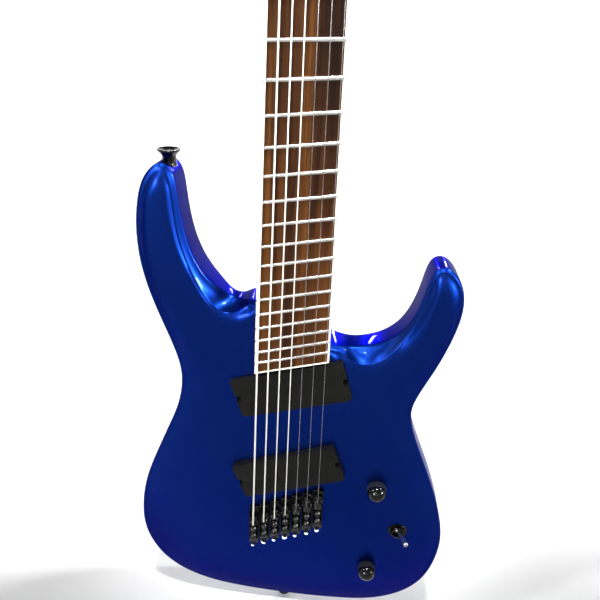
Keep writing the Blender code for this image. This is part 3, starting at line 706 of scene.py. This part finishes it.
def make_neck():
    rings = []
    for z, left, right, depth, squareness in between(NECK_SECTIONS, 5):
        rings.append(section(left, right, depth, squareness, lambda u, w: spot(u, NECK_TOP + w, z)))
    for v, left, right, depth, squareness in between(HEAD_SECTIONS, 4):
        rings.append(section(left, right, depth, squareness, lambda u, w: head_spot(u, w, v)))
    neck = lofted("neck_shaft", rings)
    for number in range(STRINGS):
        u, v = post_place(number)
        hole = ((5.1, -4.0), (5.1, 30.0))
        cut(neck, turned("post_cut", hole, head_spot(u, 0.0, v), head_axis(0, 1, 0), 24))
    neck.data.materials.append(MAPLE)
    neck.data.materials.append(BLUE)
    front = -head_axis(0, 1, 0)
    start = head_spot(0, 0, 0).z
    for polygon in neck.data.polygons:
        on_head = polygon.center.z > start and polygon.normal.dot(front) > 0.7
        polygon.material_index = 1 if on_head else 0
    place_piece(neck, "guitar", "satin_maple", "neck", angle=30.0)


def make_fingerboard():
    corners = [across_board(24, -1, -9.0, BINDING), across_board(24, 1, -9.0, BINDING)]
    corners += [across_board(0, 1, -0.2, BINDING), across_board(0, -1, -0.2, BINDING)]
    board = coat(plate("board_wood", corners, BOARD_TOP, BOARD_BOTTOM), ROSEWOOD)
    outer = [across_board(24, -1, -10.7), across_board(24, 1, -10.7)]
    outer += [across_board(0, 1, -0.2), across_board(0, -1, -0.2)]
    strips = []
    for a, b in ((3, 0), (0, 1), (1, 2)):
        strip = plate("strip", (outer[a], outer[b], corners[b], corners[a]), BOARD_TOP, BOARD_BOTTOM)
        strips.append(coat(soften(strip, 0.25, 2), CREAM))
    for fret in (3, 5, 7, 9, 12, 12.5, 15, 17, 19, 21, 24):
        pair = 3.0 if fret in (12, 12.5) else 0.0
        line = int(fret)
        _, low = across_board(line, -1)
        _, high = across_board(line - 1, -1)
        z = (low + high) / 2 + (pair if fret == 12 else -pair)
        middle = spot(-board_half(z) + 0.5, (BOARD_TOP + BOARD_BOTTOM) / 2, z)
        dot = turned("dot", ((0.9, 0.0), (0.9, 0.56), (0.7, 0.6)), middle, (-1, 0, 0), 20)
        strips.append(coat(dot, BLACK_PLASTIC))
    place_piece(joined("fingerboard_wood", [board]), "guitar", "dark_rosewood", "fingerboard")
    place_piece(joined("fingerboard_binding", strips), "guitar", "dark_rosewood")


def make_frets():
    work = bmesh.new()
    for fret in range(1, FRETS + 1):
        (x_low, z_low), (x_high, z_high) = across_board(fret, -1), across_board(fret, 1)
        low = Vector((x_low + 0.15, z_low))
        high = Vector((x_high - 0.15, z_high))
        length = (high - low).length
        rings = []
        for reach, size in ((0, 0.3), (0.25, 0.62), (0.7, 0.88), (1.5, 1.0)):
            rings.append((reach / length, size))
        rings += [(1 - share, size) for share, size in reversed(rings)]
        loops = []
        for share, size in rings:
            x, z = low.lerp(high, share)
            loop = []
            for step in range(11):
                angle = pi * step / 10
                y = BOARD_TOP - (BOARD_TOP + 0.02) * sin(angle) ** 0.8 * size
                loop.append(spot(x, y, z - 1.35 * cos(angle) * (0.4 + 0.6 * size)))
            loop += [spot(x, BOARD_TOP + 0.3, z + side * 1.1 * (0.4 + 0.6 * size)) for side in (1, -1)]
            loops.append(loop)
        skin(work, loops)
    frets = coat(to_object(work, "frets"), FRET_METAL)
    place_piece(frets, "guitar", "dark_rosewood", angle=50.0)


def make_nut():
    corners = [across_board(0, -1, 0.2), across_board(0, 1, 0.2)]
    corners += [across_board(0, 1, 5.2), across_board(0, -1, 5.2)]
    nut = soften(plate("nut_block", corners, -1.6, BOARD_BOTTOM), 0.5, 3)
    for number, radius in enumerate(STRING_RADII):
        side = string_side(number)
        z = fret_z(0, side)
        x = string_x(side, z)
        low = STRING_Y_NUT + radius + 0.1
        start, end = spot(x, low - radius, z - 7), spot(x, low - radius + 2.4, z + 12)
        cut(nut, rod("slot_cut", start, end, radius + 0.12, 16))
    place_piece(coat(nut, GRAPHITE), "guitar", "black_graphite_nut", "nut")


# ---- headstock hardware ----
def post_place(number):
    v = POST_FIRST + POST_STEP * number
    return string_x(string_side(number), HEAD_START + v) - 3.1 - STRING_RADII[number], v


def row_lean():
    low_u, low_v = post_place(0)
    high_u, high_v = post_place(STRINGS - 1)
    return Vector((high_u - low_u, high_v - low_v)).normalized()


def tuner_place(number):
    """Places (along the row, behind the face, away from the headstock's middle) at a tuner."""
    lean = row_lean()
    out = Vector((-lean.y, lean.x))
    centre = Vector(post_place(number))

    def place(along, behind, away):
        across = centre + lean * along + out * away
        return head_spot(across.x, behind, across.y)

    return place


def make_tuner(number):
    label = STRINGS - number
    place = tuner_place(number)
    outward = head_axis(0, -1, 0)
    case = plate("case", ((-9.0, -7.0), (9.0, -7.0), (9.0, 9.5), (-9.0, 9.5)), 14.3, 24.3,
                 lambda a, b, depth: place(a, depth, b))
    soften(case, 1.8, 4)
    cut(case, turned("worm_cut", ((2.2, -6.0), (2.2, 6.0)), place(4.6, 19.6, 9.5),
                     place(0, 0, 1) - place(0, 0, 0), 24))
    cut(case, turned("post_cut", ((3.3, -19.8), (3.3, -10.0)), place(0, 0, 0), outward, 32))
    coat(case, BLACK_NICKEL)
    bushing = (
        (4.8, -14.2), (4.8, 0.3), (7.0, 0.3), (7.0, 1.6), (6.4, 2.3), (4.9, 2.4), (4.7, 3.4), (3.3, 3.4),
        (3.3, -14.0),
    )
    nut = turned("nut", bushing, place(0, 0, 0), outward, 48, 6, 0.9, (2, 3, 4), hollow=True)
    coat(nut, BLACK_NICKEL)
    screw = screw_head("screw", place(-5.6, 24.3, 5.8), -outward, 1.5)
    housing = joined(f"tuner_case_{label}", [case, nut, screw])
    place_piece(housing, "guitar", "black_hardware", f"tuner_housing_{label}")

    post = (
        (3.0, -19.3), (3.0, 4.7), (2.7, 5.1), (2.4, 5.8), (2.4, 9.4), (2.7, 10.1), (3.0, 10.6), (3.0, 12.6),
        (2.6, 13.2), (1.6, 13.5),
    )
    shaft = turned("post", post, place(0, 0, 0), outward, 32)
    top = place(0, -13.5, 0) + outward * 0.0005
    cut(shaft, turned("slot_cut", ((0.9, 0.0), (0.9, 2.0)), top, -outward, 16))
    place_piece(coat(shaft, BLACK_NICKEL), f"tuner_post_{label}", "black_hardware", f"tuner_post_{label}")

    side = place(0, 0, 1) - place(0, 0, 0)
    stem_shape = ((1.8, -5.5), (1.8, 1.0), (2.2, 1.4), (2.2, 3.6), (2.9, 4.4), (2.9, 5.4))
    stem = turned("stem", stem_shape, place(4.6, 19.6, 9.5), side, 32)
    widths = ((4.6, 2.4, 2.4), (6.5, 6.0, 3.2), (12.0, 8.6, 3.4), (17.5, 7.4, 3.0), (20.0, 4.5, 1.8))
    rows = between(widths, 5)
    rings = []
    for away, half_a, half_b in rows:
        ring = []
        for k in range(40):
            angle = 2 * pi * k / 40
            ring.append(place(4.6 + half_a * cos(angle), 19.6 + half_b * sin(angle), 9.5 + away))
        rings.append(ring)
    paddle = lofted("paddle", rings)
    button = joined(f"tuner_paddle_{label}", [coat(stem, BLACK_NICKEL), coat(paddle, BLACK_NICKEL)])
    place_piece(button, f"tuner_button_{label}", "black_hardware", f"tuner_button_{label}")


def make_truss_rod_cover():
    corners = (
        (-8.5, 4.0), (8.5, 4.0), (9.0, 12.0), (4.5, 22.0),
        (2.0, 30.0), (-2.0, 30.0), (-4.5, 22.0), (-9.0, 12.0),
    )
    cover = plate("truss_cover", corners, -2.0, -0.3, lambda a, b, w: head_spot(a, w, b))
    coat(soften(cover, 0.5, 3, 30.0), BLACK_PLASTIC)
    outward = head_axis(0, -1, 0)
    holes = ((-5.5, 7.0), (5.5, 7.0), (0.0, 26.5))
    screws = [screw_head("screw", head_spot(u, -2.0, v), outward, 1.3) for u, v in holes]
    place_piece(joined("truss_rod_plate", [cover, *screws]), "guitar", "black_plastic", "truss_rod_cover")


# ---- bridge and strings ----
def bridge_spots(number):
    side = string_side(number)
    saddle = -6.5 + 18.0 * side
    front = 3.4 + 14.8 * side
    return side, string_x(side, saddle), saddle, front, front - 48.0


def unit_place(number):
    side, x, saddle, _, _ = bridge_spots(number)
    slope = side * (SPREAD_NUT - SPREAD_BRIDGE) / 2 / SCALE_MID

    def place(across, y, z):
        return spot(x + across + slope * (z - saddle), y, z)

    return place


def crowned(name, rows, half, place, crown, groove):
    """A block with a (z, y) side view whose top falls away towards its sides and is grooved.

    Rows are (z, top y, bottom y); crown is how far the sides are lower than the middle."""
    edge = groove / half
    outer = [s for s in (-1.0, -0.97, -0.88, -0.7, -0.45, 0.45, 0.7, 0.88, 0.97, 1.0) if abs(s) > edge * 1.5]
    shares = sorted(outer + [-edge, -edge * 0.6, 0.0, edge * 0.6, edge])
    rings = []
    for z, top, bottom in rows:
        ring = [place(half, bottom, z), place(-half, bottom, z)]
        for share in shares:
            fall = crown * abs(share) ** 3.0
            dip = groove * 0.8 * max(0.0, 1 - (abs(share) * half / groove) ** 2)
            ring.append(place(half * share, min(top + fall + dip, bottom - 0.2), z))
        rings.append(ring)
    return lofted(name, rings)


def barrel(name, place, low, high, half, top, bottom):
    """A rounded lump along a bridge unit, fullest in its middle and flat underneath."""
    rings = []
    for step in range(19):
        t = 0.01 + 0.98 * step / 18
        swell = sin(pi * t) ** 0.5
        ring = []
        for k in range(25):
            angle = pi * k / 24
            across = half * swell * cos(angle)
            depth = bottom + (top - bottom) * swell * sin(angle)
            ring.append(place(across, depth, low + (high - low) * t))
        rings.append(ring)
    return lofted(name, rings)


def make_bridge_unit(number):
    label = STRINGS - number
    _, _, saddle, front, rear = bridge_spots(number)
    place = unit_place(number)
    radius = STRING_RADII[number]
    crest = STRING_Y_SADDLE + radius + 0.12
    front_way = Vector((0, -1, 0))
    nose = front + 3.0

    outline = (
        (nose, 7.2), (nose, 4.6), (nose - 0.5, 4.1), (nose - 1.2, 4.0),
        (rear + 1.5, 4.4), (rear + 0.3, 5.0), (rear, 6.0), (rear, 7.2),
    )
    floor = lofted("floor", [[place(across, y, z) for z, y in outline] for across in (-4.7, 4.7)])
    pieces = [soften(floor, 0.3, 2)]
    for side in (-1, 1):
        rail = (
            (nose - 0.8, 4.4), (nose - 2.4, 2.6), (nose - 4.0, 1.9),
            (saddle + 4.0, 1.5), (saddle - 6.0, 1.5), (rear + 20.0, 2.6), (rear + 2.0, 4.6),
        )
        wall = lofted("rail", [[place(side * across, y, z) for z, y in rail] for across in (3.7, 4.7)])
        pieces.append(soften(wall, 0.3, 2))
    pieces.append(barrel("lobe_front", place, rear + 19.2, rear + 29.2, 4.1, -1.9, 4.9))
    pieces.append(barrel("lobe_rear", place, rear + 6.4, rear + 19.0, 4.2, -1.6, 4.9))
    pieces.append(rod("screw_shaft", place(0, 1.9, rear + 2.6), place(0, 1.4, rear + 14.0), 2.0))
    for piece in pieces[:3] + pieces[5:]:
        coat(piece, BRIDGE_BLACK)
    for piece in pieces[3:5]:
        coat(piece, BLACK_CHROME)
    pieces.append(screw_head("mount_screw", place(2.3, 4.0, nose - 2.6), front_way, 1.9, BLACK_NICKEL))
    pieces.append(screw_head("mount_screw", place(-2.0, 3.9, nose - 7.0), front_way, 1.9, BLACK_NICKEL))
    back = (place(0, 3.4, rear) - place(0, 2.0, rear + 3.0)).normalized()
    tail = place(0, 1.6, rear + 2.2)
    pieces.append(screw_head("length_screw", tail, back, 1.9, FRET_METAL, hex_socket=True))
    unit = joined(f"bridge_unit_{label}", pieces)
    place_piece(unit, "guitar", "black_bridge", f"bridge_base_{label}", angle=40.0)

    reach = saddle - rear - 28.6
    rows = (
        (saddle + 4.5, 3.4, 4.4), (saddle + 4.3, 2.2, 4.4), (saddle + 3.4, crest + 2.6, 4.4),
        (saddle + 2.2, crest + 1.2, 4.4), (saddle + 1.2, crest + 0.25, 4.4), (saddle + 0.2, crest, 4.4),
        (saddle - 1.0, crest + 0.3, 4.4),
        (saddle - 0.3 * reach, crest + 1.1, 4.4), (saddle - 0.5 * reach, crest + 1.6, 4.4),
        (saddle - 0.75 * reach, crest + 2.2, 4.4), (saddle - 0.92 * reach, crest + 3.4, 4.4),
        (saddle - reach, 3.6, 4.4), (saddle - 13.1, 3.9, 4.4),
    )
    parts = [coat(crowned("saddle", rows, 4.3, place, 1.6, radius + 0.25), BRIDGE_BLACK)]
    for side in (-1, 1):
        base = place(side * 3.0, crest + 0.7, saddle + 0.2)
        shape = ((1.2, -2.0), (1.2, 0.55), (1.0, 0.8), (0.6, 0.8), (0.6, -0.3))
        grub = turned("grub", shape, base, front_way, 24)
        parts.append(coat(grub, BLACK_NICKEL))
    block = joined(f"saddle_block_{label}", parts)
    place_piece(block, "guitar", "black_bridge", f"saddle_{label}", angle=40.0)


def string_path(number):
    """Out of the saddle, over its crest and the nut, and round the post."""
    side, _, saddle, _, _ = bridge_spots(number)
    place = unit_place(number)
    radius = STRING_RADII[number]
    nut_z = fret_z(0, side) + 2.7
    path = [
        place(0, 3.5, saddle - 2.6),
        place(0, STRING_Y_SADDLE + 0.5, saddle - 1.0),
        place(0, STRING_Y_SADDLE, saddle + 0.2),
    ]
    path.append(spot(string_x(side, nut_z), STRING_Y_NUT, nut_z))
    u, v = post_place(number)
    reach = 2.4 + radius + 0.2
    pitch = 2 * radius + 0.2
    for step in range(46):
        angle = 2 * pi * step / 36
        path.append(head_spot(u + reach * cos(angle), -8.7 + pitch * step / 36, v + reach * sin(angle)))
    return path


def make_string(number):
    label = STRINGS - number
    path = string_path(number)
    radius = STRING_RADII[number]
    rings = []
    side = None
    for i, point in enumerate(path):
        ahead = (path[min(i + 1, len(path) - 1)] - path[max(i - 1, 0)]).normalized()
        if side is None:
            side = ahead.cross(Vector((0, 1, 0))).normalized()
        side = (side - ahead * side.dot(ahead)).normalized()
        other = ahead.cross(side)
        turns = [2 * pi * k / 14 for k in range(14)]
        rings.append([point + (side * cos(a) + other * sin(a)) * radius / 1000 for a in turns])
    wire = WOUND_WIRE if number < WOUND else PLAIN_WIRE
    slot = "wound_string" if number < WOUND else "plain_string"
    string = coat(lofted(f"string_wire_{label}", rings), wire)
    place_piece(string, "guitar", slot, f"string_{label}", angle=50.0)


# ---- pickups and controls ----
def make_pickup(name, pickup):
    x, z, degrees, length, _, top = pickup
    cover = plate(name + "_cover", pickup_outline(pickup, 0.0, 3.0), top, top + 20.0)
    front = Vector((0, -1, 0))
    screws = []
    for hand in (-1, 1):
        across, along = turn_points([(hand * (length / 2 - 1.6), 0.0)], x, z, degrees)[0]
        notch = ((2.7, -1.0), (2.7, 9.0))
        cut(cover, turned("notch", notch, spot(across, top, along), (0, 1, 0), 32))
        screws.append(screw_head("screw", spot(across, top + 5.2, along), front, 2.2, BLACK_NICKEL))
    coat(soften(cover, 0.8, 4), PICKUP_PLASTIC)
    place_piece(joined(name + "_shell", [cover, *screws]), "guitar", "black_satin_plastic", name)


def make_knob(name, x, z):
    centre = spot(x, BODY_TOP, z)
    front = (0, -1, 0)
    skirt = (
        (3.0, -11.0), (3.0, 3.6), (7.4, 3.6), (7.4, 0.6), (8.5, 0.6), (8.8, 0.9), (8.9, 1.3), (8.85, 5.6),
        (8.6, 6.2),
    )
    side = turned("side", skirt, centre, front, 192, 48, 0.4, (6, 7))
    coat(side, KNOB_SIDE)
    dome = [(8.6, 6.1)]
    for step in range(1, 15):
        angle = step / 15 * pi / 2
        dome.append((8.65 * cos(angle), 6.2 + 8.0 * sin(angle)))
    top = coat(turned("top", dome, centre, front, 96), KNOB_TOP)
    place_piece(joined(name + "_turning", [side, top]), name, "black_knob", name, angle=40.0)


def make_pot(name, x, z):
    can = (
        (8.2, -17.0), (8.2, -6.8), (4.7, -6.8), (4.7, 0.3), (6.8, 0.3), (6.8, 2.6), (4.7, 2.6), (4.7, 3.1),
        (3.1, 3.1), (3.1, -12.0),
    )
    pot = coat(turned(name + "_can", can, spot(x, BODY_TOP, z), (0, -1, 0), 48), STEEL)
    place_piece(pot, "guitar", "steel_can", name)


def lever_axis():
    lean = radians(19.0)
    across = radians(20.0)
    return Vector((sin(lean) * cos(across), -cos(lean), sin(lean) * sin(across)))


def make_switch():
    x, z = TOGGLE
    centre = spot(x, BODY_TOP, z)
    front = (0, -1, 0)
    tube = ((7.5, -24.0), (7.5, -6.8), (5.9, -6.8), (5.9, 0.3), (5.9, 2.4), (4.9, 2.4), (4.6, -7.0))
    washer = ((6.0, 0.3), (9.0, 0.3), (9.0, 0.7), (8.7, 1.1), (6.6, 1.3), (6.0, 1.3))
    nut = ((6.0, 1.3), (6.6, 1.3), (6.8, 1.6), (6.8, 3.0), (6.3, 3.7), (5.6, 3.9), (5.0, 3.6), (5.0, 1.3))
    pieces = [
        coat(turned("tube", tube, centre, front, 48), BLACK_NICKEL),
        coat(turned("washer", washer, centre, front, 64, hollow=True), BLACK_NICKEL),
        coat(turned("nut", nut, centre, front, 96, 24, 0.3, (2, 3), hollow=True), BLACK_NICKEL),
    ]
    place_piece(joined("switch_frame", pieces), "guitar", "black_hardware", "toggle_switch")
    shape = (
        (1.8, -3.8), (3.0, -3.0), (4.0, -1.5), (4.25, 0.0), (4.0, 1.5), (3.0, 3.0), (1.9, 3.9), (1.85, 6.0),
        (1.9, 10.0), (2.1, 13.0), (2.35, 15.5), (2.5, 18.0), (2.5, 20.2), (2.25, 21.1), (1.7, 21.7),
        (0.8, 22.0),
    )
    lever = turned("switch_lever", shape, spot(x, BODY_TOP + 2.6, z), lever_axis(), 40)
    place_piece(coat(lever, STEEL), "toggle_lever", "steel_lever", "toggle_lever")


# ---- fittings ----
def make_strap_button(name, base, axis, girth=1.0):
    shape = (
        (2.1, -20.0), (2.1, 0.4), (5.9, 0.4), (5.9, 0.8), (5.5, 1.3), (5.25, 2.4), (5.2, 4.5), (5.2, 6.6),
        (5.5, 7.8), (6.3, 9.0), (7.5, 10.3), (8.3, 11.2), (8.5, 11.7), (8.5, 12.2), (8.2, 12.5), (7.7, 12.6),
        (7.2, 12.3), (4.6, 11.5), (4.4, 11.1), (2.0, 11.0),
    )
    shape = [(2.1 + (radius - 2.1) * girth, height) for radius, height in shape]
    button = coat(turned("cap", shape, base, axis, 56), BLACK_NICKEL)
    place_piece(joined(name + "_peg", [button]), "guitar", "black_hardware", name, angle=30.0)


def make_fittings():
    make_strap_button("strap_button_end", spot(0.0, DEPTH, END_SEAT_Z), (0, 0, -1), 0.7)
    make_strap_button("strap_button_horn", spot(BUTTON_HORN[0], DEPTH, BUTTON_HORN[1]), (0, 0, 1))
    cover = soften(plate("cover", control_outline(5.7), COVER_Y, BODY_BACK), 0.5, 3)
    screws = [screw_head("screw", spot(x, BODY_BACK - 0.3, z), (0, 1, 0), 2.4) for x, z in BACK_SCREWS]
    coat(cover, BLACK_PLASTIC)
    place_piece(joined("control_plate", [cover, *screws]), "guitar", "black_plastic", "control_cover")
    socket = (
        (5.9, 33.0), (5.9, 3.3), (10.4, 3.3), (10.4, 1.2), (10.0, 0.9), (3.6, 0.9), (3.25, 1.3), (3.25, 28.0)
    )
    base = spot(JACK[0], DEPTH, JACK[1])
    jack = coat(turned("socket", socket, base, (-1, 0, 0), 56), BLACK_NICKEL)
    ring = ((5.4, 1.0), (5.4, 0.2), (5.1, -0.1), (3.8, -0.1), (3.5, 0.2), (3.5, 1.0))
    nut = coat(turned("nut", ring, base, (-1, 0, 0), 48), SCREW_METAL)
    place_piece(joined("jack_socket", [jack, nut]), "guitar", "black_hardware", "output_jack")
    case = plate("battery_case", ((63.0, -2.0), (79.0, -2.0), (79.0, -50.0), (63.0, -50.0)), 14.2, 40.4)
    coat(soften(case, 1.5, 4), BATTERY)
    place_piece(case, "guitar", "battery_case", "battery")


# ---- stage ----
def make_floor():
    """A pale floor that curves up into a wall all round."""
    flat = 4.0
    curve = 1.0
    wall_top = 4.6
    sides = 96
    sunk = 0.0004
    rings = [(0.2, 0.0), (1.0, 0.0), (flat, 0.0)]
    for step in range(1, 13):
        angle = step / 12 * pi / 2
        rings.append((flat + curve * sin(angle), curve - curve * cos(angle)))
    rings.append((flat + curve, wall_top))
    work = bmesh.new()
    loops = []
    for radius, height in rings:
        turns = [2 * pi * k / sides for k in range(sides)]
        loops.append([Vector((radius * cos(a), radius * sin(a), height - sunk)) for a in turns])
    rows = [[work.verts.new(point) for point in loop] for loop in loops]
    work.faces.new(rows[0])
    for low, high in zip(rows, rows[1:]):
        for i in range(sides):
            j = (i + 1) % sides
            work.faces.new((low[i], low[j], high[j], high[i]))
    floor = coat(to_object(work, "floor"), floor_paint())
    smooth(floor, 60)


def lamp(name, place, target, size, watts, spread):
    light = bpy.data.lights.new(name, "AREA")
    light.shape = "RECTANGLE"
    light.size, light.size_y = size
    light.energy = watts
    light.spread = radians(spread)
    obj = bpy.data.objects.new(name, light)
    obj.location = place
    obj.rotation_euler = (Vector(target) - Vector(place)).to_track_quat("-Z", "Y").to_euler()
    obj.visible_camera = False
    bpy.context.scene.collection.objects.link(obj)


def make_lights():
    body = (0.0, 0.0, 0.25)
    lamp("key", (-1.9, -3.2, 1.1), body, (1.2, 0.9), 4, 36)
    lamp("front_high", (-0.3, -1.5, 1.65), (0.04, 0.0, 0.42), (0.08, 0.08), 0.2, 20)
    lamp("ceiling_middle", (0.0, -0.5, 2.4), (0.0, 0.02, 0.55), (0.12, 0.12), 0.5, 14)
    lamp("ceiling_right", (1.25, 0.3, 1.8), (-0.06, 0.0, 0.37), (0.3, 0.3), 0.4, 14)
    lamp("side_right", (1.6, -0.75, 0.75), (-0.06, 0.0, 0.38), (0.3, 0.3), 1.1, 22)
    lamp("ceiling_left", (-1.5, -0.5, 1.9), (0.05, 0.0, 0.5), (0.12, 0.12), 0.3, 18)
    lamp("rear_strip_right", (1.07, 2.8, 1.23), (0.12, 0.0, 0.4), (0.12, 0.7), 1.4, 25)
    lamp("rear_strip_left", (-0.8, 2.8, 1.7), (0.06, 0.0, 0.35), (0.12, 0.7), 1.0, 25)
    lamp("rear_floor", (0.0, 2.35, 1.7), (0.0, 2.3501, 0.0), (6.0, 4.4), 150, 14)
    lamp("rear_wall", (0.0, 2.8, 2.8), (0.0, 5.2, 0.8), (5.0, 0.5), 60, 90)
    lamp("front_wall", (0.0, -2.6, 2.8), (0.0, -5.2, 1.3), (5.0, 0.5), 26, 80)
    lamp("left_wall", (-2.6, -0.6, 2.8), (-5.2, -0.6, 1.3), (0.5, 4.0), 16, 80)
    lamp("right_wall", (2.6, -0.6, 2.8), (5.2, -0.6, 1.3), (0.5, 4.0), 16, 80)
    world = bpy.data.worlds.new("studio")
    world.use_nodes = True
    background = world.node_tree.nodes["Background"]
    background.inputs["Color"].default_value = (1.0, 1.0, 1.0, 1.0)
    background.inputs["Strength"].default_value = 0.12
    bpy.context.scene.world = world


def make_camera():
    data = bpy.data.cameras.new("camera")
    data.lens = 32.4
    data.sensor_width = 36.0
    camera = bpy.data.objects.new("camera", data)
    camera.location = (0.03061, -0.38626, 0.56079)
    camera.rotation_euler = Euler([radians(a) for a in (62.7875, -2.3561, 5.3354)])
    bpy.context.scene.collection.objects.link(camera)
    bpy.context.scene.camera = camera


make_body()
make_neck()
make_fingerboard()
make_frets()
make_nut()
make_truss_rod_cover()
for string_number in range(STRINGS):
    make_tuner(string_number)
    make_bridge_unit(string_number)
    make_string(string_number)
make_pickup("neck_pickup", NECK_PICKUP)
make_pickup("bridge_pickup", BRIDGE_PICKUP)
make_knob("volume_knob", *VOLUME)
make_knob("tone_knob", *TONE)
make_pot("volume_pot", *VOLUME)
make_pot("tone_pot", *TONE)
make_switch()
make_fittings()
make_floor()
make_lights()
make_camera()
bpy.context.scene.view_settings.view_transform = "Standard"
